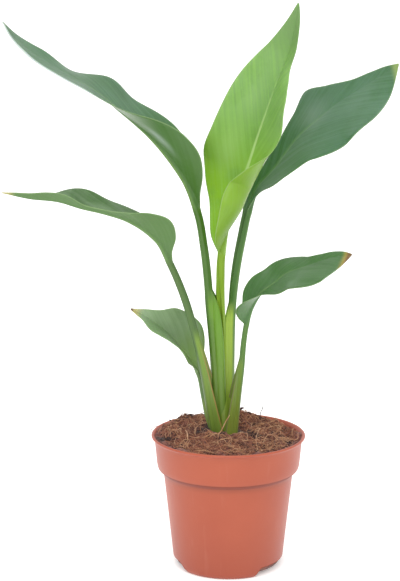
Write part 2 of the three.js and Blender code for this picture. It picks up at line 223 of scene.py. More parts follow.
# How far the foot is raised at a place round the pot, from 0 to 1, in two stretches.
def raisedShare(angle):
    share = 0.0
    for turn, half, step in pot["recesses"]:
        turned = (math.degrees(angle) - turn + 180) % 360 - 180
        share = max(share, easeStep(half - abs(turned), 0, step))
    return share


# Radius of a wall given as rows of radius and height, at one height.
def wallRadius(rows, height):
    for (r0, z0), (r1, z1) in zip(rows, rows[1:]):
        if z0 <= height <= z1:
            return lerp(r0, r1, (height - z0) / (z1 - z0))
    return None


def potMesh():
    outside, inside = potOutline()
    bm = bmesh.new()
    corners = [bm.verts.new((r * mm, 0, z * mm)) for r, z in outside + inside]
    edges = [bm.edges.new(pair) for pair in zip(corners, corners[1:])]
    for edge in edges:
        length = edge.calc_length() / mm
        step = pot["coarseStep"] if length > pot["longEdge"] else pot["fineStep"]
        bmesh.ops.subdivide_edges(bm, edges=[edge], cuts=max(int(length / step) - 1, 0))
    ends = {corners[0], corners[-1]}
    for _ in range(pot["softening"]):
        bmesh.ops.smooth_vert(
            bm, verts=[v for v in bm.verts if v not in ends], factor=0.5,
            use_axis_x=True, use_axis_y=True, use_axis_z=True,
        )
    bmesh.ops.spin(
        bm, geom=bm.verts[:] + bm.edges[:], cent=(0, 0, 0), axis=(0, 0, 1),
        angle=2 * math.pi, steps=pot["sides"], use_merge=True, use_duplicate=False,
    )
    bmesh.ops.remove_doubles(bm, verts=bm.verts, dist=pot["weld"] * mm)
    outerWall = outside[4:8]
    innerWall = inside[3:8][::-1]
    for vert in bm.verts:
        radius = math.hypot(vert.co.x, vert.co.y) / mm
        height = vert.co.z / mm
        share = raisedShare(math.atan2(vert.co.y, vert.co.x))
        isMiddle = radius < pot["recessInner"] - pot["wall"]
        if share == 0 or isMiddle or height > pot["liftTop"]:
            continue
        within = wallRadius(innerWall, height)
        isInside = height > pot["underside"] and (
            within is None or radius < within + pot["wall"] / 2
        )
        base = pot["wall"] if isInside else 0
        start = pot["recessInner"] - (pot["wall"] if isInside else 0)
        fade = clamp(1 - (height - base) / pot["liftReach"])
        beyond = easeStep(radius, start - pot["recessStep"], start + pot["recessStep"])
        lift = pot["recessHeight"] * share * fade * beyond
        rows = innerWall if isInside else outerWall
        before, after = wallRadius(rows, height), wallRadius(rows, height + lift)
        if before and after and radius > pot["footRadius"] - pot["footBand"]:
            vert.co.xy *= (radius + after - before) / radius
        vert.co.z += lift * mm
    bmesh.ops.recalc_face_normals(bm, faces=bm.faces)
    return meshOf("nurseryPot", bm)


# Polypropylene, injection moulded and coloured terracotta: an even warm skin with a low
# satin gloss and a pale sheen, a fine grained bump and faint handling marks, with painted
# shade towards the bottom and in the crease under the collar.
def mouldedPolypropylene():
    material, tree, shader = newMaterial("mouldedPolypropylene", {
        "IOR": 1.49, "Specular IOR Level": 0.5, "Subsurface Weight": 0.06,
        "Subsurface Scale": 2 * mm, "Subsurface Radius": (1, 0.35, 0.2),
        "Sheen Weight": 0.17, "Sheen Roughness": 0.45, "Sheen Tint": toLinear("#E9C9D2"),
    })
    place = addNode(tree, "TexCoord").outputs["Object"]
    cloud = addNode(tree, "TexNoise", {"Vector": place, "Scale": 1 / (45 * mm), "Detail": 3})
    speck = addNode(tree, "TexNoise", {"Vector": place, "Scale": 1 / (1.6 * mm), "Detail": 2})
    stretched = addNode(tree, "Mapping", {"Vector": place, "Scale": (1, 1, 0.12)})
    scuffs = addNode(tree, "TexNoise", {
        "Vector": stretched.outputs["Vector"], "Scale": 1 / (5 * mm), "Detail": 5,
    })
    grain = addNode(tree, "TexNoise", {"Vector": place, "Scale": 1 / (0.7 * mm), "Detail": 2})
    height = addNode(tree, "SeparateXYZ", {"Vector": place}).outputs["Z"]
    rise, ledge, end = ([level * mm for level in pot[key]] for key in
                        ("creaseRise", "creaseLedge", "creaseEnd"))
    # Painted shade: the colour darkens towards the bottom.
    low = addNode(tree, "MapRange", {
        "Value": height, "From Min": 60 * mm, "From Max": 0, "To Min": 0, "To Max": 0.55,
    }, interpolation_type="SMOOTHSTEP")
    rub = addNode(tree, "MapRange", {
        "Value": scuffs.outputs["Fac"], "From Min": 0.6, "From Max": 0.75, "To Max": 0.12,
    })
    # Painted shade in the crease under the collar, deepest on the ledge.
    rising = addNode(tree, "MapRange", {
        "Value": height, "From Min": rise[0], "From Max": rise[1],
    }, interpolation_type="SMOOTHSTEP")
    ending = addNode(tree, "MapRange", {
        "Value": height, "From Min": end[0], "From Max": end[1],
    })
    crease = addNode(tree, "Math", {
        0: rising.outputs["Result"], 1: ending.outputs["Result"],
    }, operation="MULTIPLY")
    deepening = addNode(tree, "MapRange", {
        "Value": height, "From Min": ledge[0], "From Max": ledge[1], "To Min": 0.4, "To Max": 0.8,
    })
    creaseShade = addNode(tree, "Math", {
        0: crease.outputs["Value"], 1: deepening.outputs["Result"],
    }, operation="MULTIPLY")
    colour = addNode(tree, "ValToRGB", {"Fac": cloud.outputs["Fac"]}, stops=[
        (0.3, "#9D472C"), (0.7, "#A44D31"),
    ]).outputs["Color"]
    for cover, share in (
        ("#90402A", low.outputs["Result"]),
        ("#B47460", rub.outputs["Result"]),
        ("#6E2E1C", creaseShade.outputs["Value"]),
    ):
        colour = addNode(tree, "MixRGB", {
            "Fac": share, "Color1": colour, "Color2": toLinear(cover),
        }).outputs["Color"]
    gloss = addNode(tree, "MapRange", {
        "Value": speck.outputs["Fac"], "To Min": 0.38, "To Max": 0.5,
    })
    dulled = addNode(tree, "Math", {
        0: gloss.outputs["Result"], 1: creaseShade.outputs["Value"],
    }, operation="MAXIMUM")
    bump = addNode(tree, "Bump", {
        "Height": grain.outputs["Fac"], "Strength": 0.25, "Distance": 0.06 * mm,
    })
    tree.links.new(colour, shader.inputs["Base Color"])
    tree.links.new(dulled.outputs["Value"], shader.inputs["Roughness"])
    tree.links.new(bump.outputs["Normal"], shader.inputs["Normal"])
    return material


# Drills the holes through the raised floor and gives the finished mesh.
def drilled(mesh):
    blank = bpy.data.objects.new("blank", mesh)
    bpy.context.scene.collection.objects.link(blank)
    bm = bmesh.new()
    for turn in pot["drainTurns"]:
        angle = math.radians(turn)
        bmesh.ops.create_cone(
            bm, cap_ends=True, segments=pot["drainSides"], radius1=pot["drainRadius"] * mm,
            radius2=pot["drainRadius"] * mm, depth=pot["drainDepth"] * mm,
            matrix=Matrix.Translation((
                pot["drainCentre"] * math.cos(angle) * mm,
                pot["drainCentre"] * math.sin(angle) * mm,
                pot["recessHeight"] * mm,
            )),
        )
    drill = bpy.data.objects.new("drill", meshOf("drill", bm))
    bpy.context.scene.collection.objects.link(drill)
    cut = blank.modifiers.new("drains", "BOOLEAN")
    cut.object = drill
    cut.solver = "EXACT"
    bpy.context.view_layer.update()
    evaluated = blank.evaluated_get(bpy.context.evaluated_depsgraph_get())
    done = bpy.data.meshes.new_from_object(evaluated)
    for spare in (blank, drill):
        bpy.data.objects.remove(spare)
    done.name = "nurseryPot"
    done.set_sharp_from_angle(angle=math.radians(pot["sharpFrom"]))
    return done


makePiece("nurseryPot", drilled(potMesh()), mouldedPolypropylene(), "pot")
print("pot spun, foot raised and drains drilled")

# A leaf is a line of points up its stalk and along its blade, with t running from -1 at
# the foot through 0 at the neck to 1 at the tip. It gives the way its upper side faces at
# some t, and for each half of the blade its width, the angle that it lifts off flat beside
# the midrib, the angle that it turns further towards its margin, and the height, count and
# start of its waves. Its rib is the half width and the depth of its stalk at the neck, and
# its sheath's body is the same at the foot. A sheath is an arc, of the given radii at its
# top and its foot, that wraps both ways round the younger leaves. It closes up to the stalk
# at its top, in a shorter stretch the higher its speed is, and its colours start the given
# height above that.
leafForm = {
    "bladePlaces": (0, 0.1, 0.25, 0.45, 0.65, 0.85, 1),
    "marginPlaces": (0, 0.05, 0.1, 0.17, 0.25, 0.35, 0.45, 0.55, 0.65, 0.75, 0.85, 0.93, 1),
    "across": 16,            # steps from the midrib to a margin
    "crowding": 1.6,         # above 1 the steps are closer beside the midrib
    "stalkRings": 64,        # rings of points along the stalk and along the blade
    "bladeRings": 132,
    "edge": 0.5,             # thickness of the blade and the sheath
    "veinSlant": 2.3,        # how far a side vein runs on for each step outwards
    "ruffle": 0.3,           # small hollows between the veins
    "rufflePitch": 18,
    "ruffleAcross": 0.6,     # below 1 they are longer outwards than along the leaf
    "ruffleStart": 4,        # they reach their full height at 1/4 of the way to the margin
    "swell": 0.7,            # power by which the waves fade at the neck and the tip
    "stalkLift": 38,         # lift and curl of the groove in a bare stalk, in degrees
    "stalkCurl": 20,
    "ribTaper": 0.75,        # share of the midrib's width that is gone at the tip
    # Depth of the midrib: its two shares of the stalk's, how they fade, and what is left.
    "ribShare": 0.6,
    "ribFade": 1.2,
    "neckShare": 0.4,
    "neckReach": 0.12,
    "ribLeast": 0.1,
    "nearby": 0.001,         # step in t over which the leaf's direction is taken
    "weld": 0.001,
    "layerGap": 10,          # each leaf takes its ruffles from a layer of noise of its own
}

# The finish of a leaf: the colours of its flesh and of what covers it; how far, in mm, the
# tip's colour and its dark spot reach from the tip, and the dry membrane from the sheath's
# margin; how strongly the midrib and the dried margin show; where on the blade the colour
# of its base ends and where it is full; and how strongly its surface mirrors and has a
# sheen. This much is alike on most leaves.
commonFinish = {
    "spotReach": 0, "midrib": 0.15, "membraneReach": 14, "baseReach": (0.5, 0.08),
    "rib": "#8FAE64", "highlightTint": "#AEC0A4", "specular": 0.5, "sheen": 0.08,
}

leaves = {
    "leaf_centre": {
        "stalk": [(-4, 1.5, 79), (-4, 1.5, 105), (-5, 1.5, 147), (-6, 1, 195), (-7, 0, 226)],
        "blade": [(-6, 0, 248), (-3, 0, 264), (4, 4, 284), (10, 8, 300), (15, 8, 315),
                  (21, 8, 334), (28, 6, 355), (35, 2, 376), (44, -6, 402), (48, -12, 421),
                  (50, -18, 437)],
        "face": [(-1, 0, -1, 0), (-0.3, 0, -1, 0), (0, -0.9, -0.3, 0.1),
                 (0.12, -0.95, -0.2, 0.3), (0.27, -0.8, -0.45, 0.4), (0.45, -0.5, -0.86, 0.12),
                 (0.7, -0.5, -0.86, 0), (1, -0.5, -0.86, -0.1)],
        "half": [(2.6, 10, 14, 20, 29, 36, 36, 34, 30, 22, 13, 6, 0.4),
                 (2.6, 15, 27.5, 39, 40, 43.5, 36, 39, 27, 9, 10, 6, 0.4)],
        "lift": [(40, 45, 38, 36, 32, 20, 20), (40, -18, -31, 18, 38, 34, 20)],
        "curl": [(20, 20, 15, 8, 4, 0, 0), (20, 102, 156, 52, 4, 0, 0)],
        "wave": [(0.8, 3, 0.1), (2.2, 3.2, 0.35)],
        "rib": (2.4, 3.9),
        "sheath": {"top": 130, "speed": 1.5, "radius": (2.2, 2.2), "wrap": 60,
                   "body": (2.6, 4), "above": 0},
        "bloom": [(0.38, -18, 0.12, 12, 0.3), (0.6, -14, 0.1, 10, 0.2)],
        "slot": "young_leaf",
        "finish": {**commonFinish, "flesh": "#759B5A", "base": "#7EAC0E", "light": "#88B456",
                   "dark": "#648E3F", "under": "#729236", "stalk": "#78982A",
                   "sheathFoot": "#74863A", "tip": "#6C8D55", "tipReach": 60, "midrib": 0.7,
                   "dry": 0, "membrane": "#86A038", "dryTint": "#8A8A50",
                   "baseReach": (0.62, 0.22), "rib": "#B4D08A", "highlightTint": "#B4D48C",
                   "specular": 0.2, "sheen": 0},
    },
    "leaf_upper_left": {
        "stalk": [(-7.9, 3.5, 79), (-8.3, 3.5, 105), (-9.6, 2, 136), (-11, 1, 172),
                  (-14, 2, 211), (-18, 4, 250)],
        "blade": [(-24, 4, 281), (-30, 4, 295), (-43, 2, 316), (-61, 0, 338), (-82, -4, 357),
                  (-104, -8, 375), (-126, -10, 388), (-148, -10, 402), (-161, -8, 413),
                  (-168, -6, 423)],
        "face": [(-1, 1, 0, 0), (-0.3, 1, -0.1, 0.2), (0, 1, 0, 0.5), (0.3, 0.8, 0.05, 0.75),
                 (0.6, 0.6, -0.1, 0.8), (1, 0.6, -0.1, 0.8)],
        "half": [(3, 8, 16, 24, 25, 22, 20, 20, 20, 16, 11, 6, 0.4),
                 (3, 7, 14, 21, 24, 25, 25, 27, 18, 13, 12, 10, 0.4)],
        "lift": [(40, 48, 45, 8, -3, -3, 0), (40, 48, 42, 26, 12, 10, 10)],
        "curl": [(20, 25, 25, 25, 5, 0, 0), (20, 25, 15, 5, -5, 0, 0)],
        "wave": [(1, 3, 0.2), (2.2, 3.7, 0.215)],
        "rib": (2.8, 4.6),
        "sheath": {"top": 218, "speed": 9, "radius": (4.6, 3.9), "wrap": 140,
                   "body": (4.5, 2.2), "above": 4},
        "bloom": [(0.3, -8, 0.09, 3, 0.42)], "paleBand": (2.8, 0.8, 0.5),
        "slot": "leaf",
        "finish": {**commonFinish, "flesh": "#3F6444", "base": "#3E6A1E", "light": "#5A7F5C",
                   "dark": "#35582F", "under": "#40661E", "stalk": "#406620",
                   "sheathFoot": "#64802E", "tip": "#6E7F50", "tipReach": 5, "midrib": 0.35,
                   "dry": 0.1, "membrane": "#5E8A1C", "dryTint": "#6E8A40",
                   "membraneReach": 9, "highlightTint": "#B6C2BE"},
    },
    "leaf_upper_right": {
        "stalk": [(2.4, 3.5, 79), (2.6, 3.5, 107), (1.8, 4.5, 135), (1.4, 7, 170),
                  (2, 12, 200), (5, 16, 231), (10, 20, 258)],
        "blade": [(14, 22, 276), (23, 24, 296), (33, 24, 307), (54, 22, 335), (69, 18, 349),
                  (80, 14, 359), (98, 6, 372), (116, -4, 385), (125, -10, 392)],
        "face": [(-1, -1, 0, 0), (-0.45, -1, -0.05, 0.05), (-0.25, -0.9, -0.4, 0.1),
                 (0, -0.7, -0.8, 0.4), (0.4, -0.52, -0.8, 0.38), (1, -0.5, -0.8, 0.32)],
        "half": [(3, 5, 5, 7, 10, 11, 17, 27, 18, 11, 8, 5, 0.4),
                 (3, 5, 8, 16, 20, 26, 35, 40, 41, 39, 33, 20, 0.4)],
        "lift": [(40, 20, 5, 0, 0, -10, 0), (40, 25, 22, 20, 20, 20, 10)],
        "curl": [(20, 10, 5, -5, -5, 0, 0), (20, 10, 5, 0, 0, 0, 0)],
        "wave": [(0.8, 2.5, 0.3), (1.2, 3.5, 0.6)],
        "rib": (2.6, 4.2),
        "sheath": {"top": 206, "speed": 4, "radius": (5.6, 6), "wrap": 110,
                   "body": (5, 2.2), "above": 4},
        "bloom": [(0.53, -5, 0.11, 12, 0.26), (0.75, 10, 0.14, 14, 0.08)],
        "slot": "leaf",
        "finish": {**commonFinish, "flesh": "#44684A", "base": "#36662A", "light": "#52765A",
                   "dark": "#2C5A28", "under": "#3C6026", "stalk": "#3F6A26",
                   "sheathFoot": "#6A8024", "tip": "#7C9150", "tipReach": 9, "midrib": 0.22,
                   "dry": 0.1, "membrane": "#98B440", "dryTint": "#8A9A50",
                   "baseReach": (0.6, 0.25), "rib": "#79A05E", "highlightTint": "#A6B2AC"},
    },
    "leaf_mid_left": {
        "stalk": [(-10.8, 2.5, 79), (-11.5, 2.5, 105), (-15, -1, 130), (-19.4, -6, 160),
                  (-26, -9, 190), (-33, -12, 215)],
        "blade": [(-45, -17, 245), (-53, -20, 259), (-63, -23, 269), (-78, -26, 278),
                  (-93, -28, 283), (-111, -28, 287), (-126, -26, 291), (-149, -22, 293),
                  (-170, -18, 297)],
        "face": [(-1, 1, 0, 0), (-0.3, 1, -0.2, 0.3), (0, 0.8, 0, 0.8), (0.2, 0.5, 0.3, 0.8),
                 (0.45, 0.3, -0.1, 1), (1, 0.1, 0, 1)],
        "half": [(3, 7, 15, 21, 18, 9, 4, 4, 9, 8, 5, 3, 0.4),
                 (3, 7, 14, 18, 19, 18, 17, 18, 17, 11, 6, 3, 0.4)],
        "lift": [(40, 40, 35, 45, 65, 65, 50), (40, 40, 25, 30, 28, 15, 5)],
        "curl": [(20, 25, 15, 10, 0, 0, 0), (20, 25, 15, 0, 0, 0, 0)],
        "wave": [(0.8, 2.5, 0), (2, 3, 0.51)],
        "rib": (2.5, 4),
        "sheath": {"top": 180, "speed": 1, "radius": (7.8, 7.8), "wrap": 105,
                   "body": (5, 2.2), "above": 13},
        "bloom": [(0.33, 5, 0.06, 4, 0.35), (0.46, 5, 0.1, 5, 0.3)],
        "slot": "leaf",
        "finish": {**commonFinish, "flesh": "#48683A", "base": "#3C6216", "light": "#66805C",
                   "dark": "#3A5A2C", "under": "#4E7236", "stalk": "#42602A",
                   "sheathFoot": "#5E762A", "tip": "#A69C60", "tipReach": 12, "dry": 0.75,
                   "membrane": "#6C8A2C", "dryTint": "#94703C"},
    },
    "leaf_lower_right": {
        "stalk": [(4.9, 2.5, 79), (5.1, 1.5, 105), (7, -5, 135), (9.4, -12, 163),
                  (11, -15, 183)],
        "blade": [(13, -18, 197), (17, -20, 209), (23, -21, 220), (34, -22, 229),
                  (43, -24, 237), (52, -26, 241), (61, -30, 245), (75, -36, 251),
                  (90, -44, 255)],
        "face": [(-1, -1, 0, 0), (-0.3, -1, -0.1, 0.1), (0, -0.95, 0, 0.4),
                 (0.12, -0.9, -0.1, 0.4), (0.3, -0.6, -0.6, 0.65), (0.6, -0.45, -0.6, 0.75),
                 (1, -0.3, -0.6, 0.8)],
        "half": [(2.4, 6, 10, 15, 16, 15, 17, 16, 9, 6, 6, 4, 0.4),
                 (2.4, 11, 17, 20, 15, 18, 20, 27, 29, 29, 27, 16, 0.4)],
        "lift": [(40, 36, 15, -5, -5, 0, 10), (40, 38, 30, 18, 18, 15, 5)],
        "curl": [(20, 10, 10, 0, 0, 0, 0), (20, 20, 10, 5, 0, 0, 0)],
        "wave": [(1.6, 2.8, 0.2), (1, 3, 0.5)],
        "rib": (2.1, 3.3),
        "sheath": {"top": 168, "speed": 1.5, "radius": (8.2, 8), "wrap": 95,
                   "body": (5, 2.1), "above": 5},
        "bloom": [(0.52, 17, 0.08, 5, 0.22), (0.38, -3, 0.07, 5, 0.1)],
        "slot": "leaf",
        "finish": {**commonFinish, "flesh": "#3B6230", "base": "#2E5E16", "light": "#4E6E46",
                   "dark": "#2F5224", "under": "#48703A", "stalk": "#3E661C",
                   "sheathFoot": "#727F30", "tip": "#A8903A", "tipReach": 9, "spotReach": 6,
                   "dry": 0.7, "membrane": "#5E7A20", "dryTint": "#6B6445",
                   "highlightTint": "#A8BDAA", "sheen": 0.04},
    },
    "leaf_lower_left": {
        "stalk": [(-11.2, 6.5, 79), (-12.4, 7, 105), (-16, 8.5, 117), (-19, 12, 133)],
        "blade": [(-23, 15, 150), (-30, 16, 161), (-38, 14, 172), (-47, 10, 183),
                  (-57, 6, 192), (-66, 3, 199), (-75, 0, 204)],
        "face": [(-1, 1, -0.3, 0), (-0.3, 0.8, -0.6, 0.2), (0, 0.6, -0.7, 0.35),
                 (0.5, 0.6, -0.7, 0.35), (1, 0.45, -0.85, 0.25)],
        "half": [(2, 6, 9, 15, 20, 22, 20, 16, 16, 14, 6, 3, 0.4),
                 (2, 5, 9, 14, 19, 23, 23, 21, 18, 10, 5, 2, 0.4)],
        "lift": [(40, 40, 42, 44, 40, 30, 30), (40, 38, 38, 36, 34, 30, 30)],
        "curl": [(20, 10, 10, 10, 8, 0, 0), (20, 10, 0, 0, 0, 0, 0)],
        "wave": [(0.6, 2.5, 0.3), (1, 2.5, 0.6)],
        "rib": (1.6, 2.6),
        "sheath": {"top": 132, "speed": 1.3, "radius": (9, 9), "wrap": 45,
                   "body": (4, 1.8), "above": 0},
        "bloom": [(0.85, 0, 0.12, 7, 0.3)],
        "slot": "leaf",
        "finish": {**commonFinish, "flesh": "#738E62", "base": "#88AA50", "light": "#86A076",
                   "dark": "#62804F", "under": "#6A8A58", "stalk": "#5C7A44",
                   "sheathFoot": "#56682C", "tip": "#B0A468", "tipReach": 11, "spotReach": 3,
                   "dry": 0.3, "membrane": "#6F8438", "dryTint": "#6B6A45"},
    },
}


# The line of a leaf as rows (t, x, y, z) and its length up to each row.
def leafLine(leaf):
    rows = []
    for points, start in ((leaf["stalk"] + leaf["blade"][:1], -1), (leaf["blade"], 0)):
        reach = [0.0]
        for before, after in zip(points, points[1:]):
            reach.append(reach[-1] + math.dist(before, after))
        rows.extend((start + r / reach[-1], *p) for r, p in zip(reach, points))
        if start == -1:
            rows.pop()
    return rows


# How far down from a sheath's top a place on the stalk is: 0 there and 1 at the foot.
def sheathShare(top, line, t):
    for before, after in zip(line, line[1:]):
        if after[3] >= top:
            level = lerp(before[0], after[0], (top - before[3]) / (after[3] - before[3]))
            return clamp((level - t) / (level + 1)) if t < 0 else 0.0
    return 0.0


# How much painted highlight there is at a place: soft pale spots given as their place along
# the leaf and off the midrib, their reach both ways and their strength, and on one leaf a
# band of the given width, strength and start along the left margin.
def highlightShare(leaf, t, rib, fromEdge):
    most = 0.0
    if rib < 0 and "paleBand" in leaf:
        width, band, start = leaf["paleBand"]
        most = band * easeStep(fromEdge, width, 0.6 * width) * easeStep(t, start, start + 0.15)
    for atT, atRib, reachT, reachRib, strength in leaf["bloom"]:
        far = ((t - atT) / reachT) ** 2 + ((rib - atRib) / reachRib) ** 2
        most = max(most, strength * math.exp(-far))
    return most


# Half width and depth of the stalk or of the midrib at t.
def bodySize(leaf, t, share):
    ribHalf, ribDepth = leaf["rib"]
    if t < 0:
        footHalf, footDepth = leaf["sheath"]["body"]
        return lerp(ribHalf, footHalf, share), lerp(ribDepth, footDepth, share)
    fading = leafForm["ribShare"] * (1 - t) ** leafForm["ribFade"]
    neck = leafForm["neckShare"] * (1 - min(t / leafForm["neckReach"], 1))
    half = ribHalf * (1 - leafForm["ribTaper"] * t)
    return half, ribDepth * (fading + neck) + leafForm["ribLeast"]


# Width in mm, and lift and curl in radians, of the left half (0) or the right half (1).
def halfForm(leaf, half, t, share):
    if t < 0:
        sheath = leaf["sheath"]
        opening = 1 - (1 - share) ** sheath["speed"]
        arc = lerp(*sheath["radius"], share) * math.radians(sheath["wrap"])
        width = lerp(leaf["rib"][0], arc, opening)
        lift = leafForm["stalkLift"] * (1 - opening)
        curl = lerp(leafForm["stalkCurl"], sheath["wrap"], opening)
    else:
        width, lift, curl = (
            smoothRow(list(zip(leafForm[places], leaf[key][half])), t)[0]
            for key, places in (
                ("half", "marginPlaces"), ("lift", "bladePlaces"), ("curl", "bladePlaces"),
            )
        )
    # The curl is never quite 0, because lengths are divided by it.
    return width, math.radians(lift), math.radians(curl) + 1e-6


# How far a place stands off the plain form, by the waves of its half and by ruffles. The
# share runs from 0 at the midrib to 1 at the margin.
def waveHeight(leaf, half, t, share, sideMm, veinMm, seed):
    if t <= 0:
        return 0.0
    height, count, phase = leaf["wave"][half]
    swell = math.sin(math.pi * t) ** leafForm["swell"]
    wave = height * math.sin(2 * math.pi * (count * t + phase)) * share * share * swell
    spot = Vector((veinMm, leafForm["ruffleAcross"] * sideMm, seed)) / leafForm["rufflePitch"]
    start = min(leafForm["ruffleStart"] * share, 1)
    return wave + leafForm["ruffle"] * noise.noise(spot) * start * swell


# The ring of points round a leaf at t, over its upper side from the left margin to the
# right one and back under its lower side. Each point comes with what the finish needs.
def leafRing(leaf, line, t, alongMm, tipMm, seed):
    point = Vector(smoothRow(line, t))
    ahead = Vector(smoothRow(line, min(t + leafForm["nearby"], 1)))
    behind = Vector(smoothRow(line, max(t - leafForm["nearby"], -1)))
    along = (ahead - behind).normalized()
    up = Vector(smoothRow(leaf["face"], t))
    up = (up - along * up.dot(along)).normalized()
    toRight = along.cross(up)
    sheath = leaf["sheath"]
    sheathed = sheathShare(sheath["top"], line, t)
    dried = sheathShare(sheath["top"] + sheath["above"], line, t)
    bodyHalf, bodyDepth = bodySize(leaf, t, sheathed)
    edge = leafForm["edge"]
    halves = []
    for half, side in enumerate((-1, 1)):
        width, lift, curl = halfForm(leaf, half, t, sheathed)
        rows = []
        for k in range(leafForm["across"] + 1):
            share = (k / leafForm["across"]) ** leafForm["crowding"]
            turned = lift + curl * share
            out = width / curl * (math.sin(turned) - math.sin(lift))
            rise = width / curl * (math.cos(lift) - math.cos(turned))
            normal = up * math.cos(turned) - toRight * (side * math.sin(turned))
            outwards = toRight * (side * math.cos(turned)) + up * math.sin(turned)
            veinMm = alongMm - leafForm["veinSlant"] * share * width
            rib, fromEdge = side * share * width, (1 - share) * width
            wave = waveHeight(leaf, half, t, share, rib, veinMm, seed)
            near = min(share * width / bodyHalf, 1)
            depth = edge + max(bodyDepth - edge, 0) * math.sqrt(max(0, 1 - near * near))
            top = point + toRight * (side * out) + up * rise + normal * wave
            middle = top - normal * (depth / 2) + outwards * (edge / 2)
            rows.append((top, middle, top - normal * depth, {
                "place": t, "share": dried, "edge": fromEdge, "midrib": 1 - near,
                "tip": tipMm, "vein": veinMm, "rib": rib,
                "bloom": highlightShare(leaf, t, rib, fromEdge),
            }))
        halves.append(rows)
    left, right = halves
    across = left[::-1] + right[1:]
    upper = [(top, {**facts, "under": 0.0}) for top, _, _, facts in across]
    lower = [(back, {**facts, "under": 1.0}) for _, _, back, facts in across[::-1]]
    margins = [(rows[-1][1], {**rows[-1][3], "under": 0.5}) for rows in halves]
    return upper + margins[1:] + lower + margins[:1]


def leafMesh(name, leaf, seed):
    line = leafLine(leaf)
    places = [-1 + i / leafForm["stalkRings"] for i in range(leafForm["stalkRings"])]
    places += [i / leafForm["bladeRings"] for i in range(leafForm["bladeRings"] + 1)]
    centres = [Vector(smoothRow(line, t)) for t in places]
    reach = [0.0]
    for before, after in zip(centres, centres[1:]):
        reach.append(reach[-1] + (after - before).length)
    rings = [
        leafRing(leaf, line, t, reach[i], reach[-1] - reach[i], seed)
        for i, t in enumerate(places)
    ]
    # A flat grid is wrapped round the rings, and its two long edges are merged.
    columns, rows = len(rings[0]), len(rings) - 1
    bm = bmesh.new()
    bmesh.ops.create_grid(bm, x_segments=columns, y_segments=rows, size=1)
    layers = {key: bm.verts.layers.float.new(key) for key in rings[0][0][1]}
    for vert in bm.verts:
        column = round((vert.co.x + 1) / 2 * columns) % columns
        ring = rings[round((vert.co.y + 1) / 2 * rows)]
        vert.co = ring[column][0] * mm
        for key, layer in layers.items():
            vert[layer] = ring[column][1][key]
    bmesh.ops.remove_doubles(bm, verts=bm.verts, dist=leafForm["weld"] * mm)
    bmesh.ops.holes_fill(bm, edges=[e for e in bm.edges if e.is_boundary], sides=0)
    bmesh.ops.recalc_face_normals(bm, faces=bm.faces)
    return meshOf(name, bm)
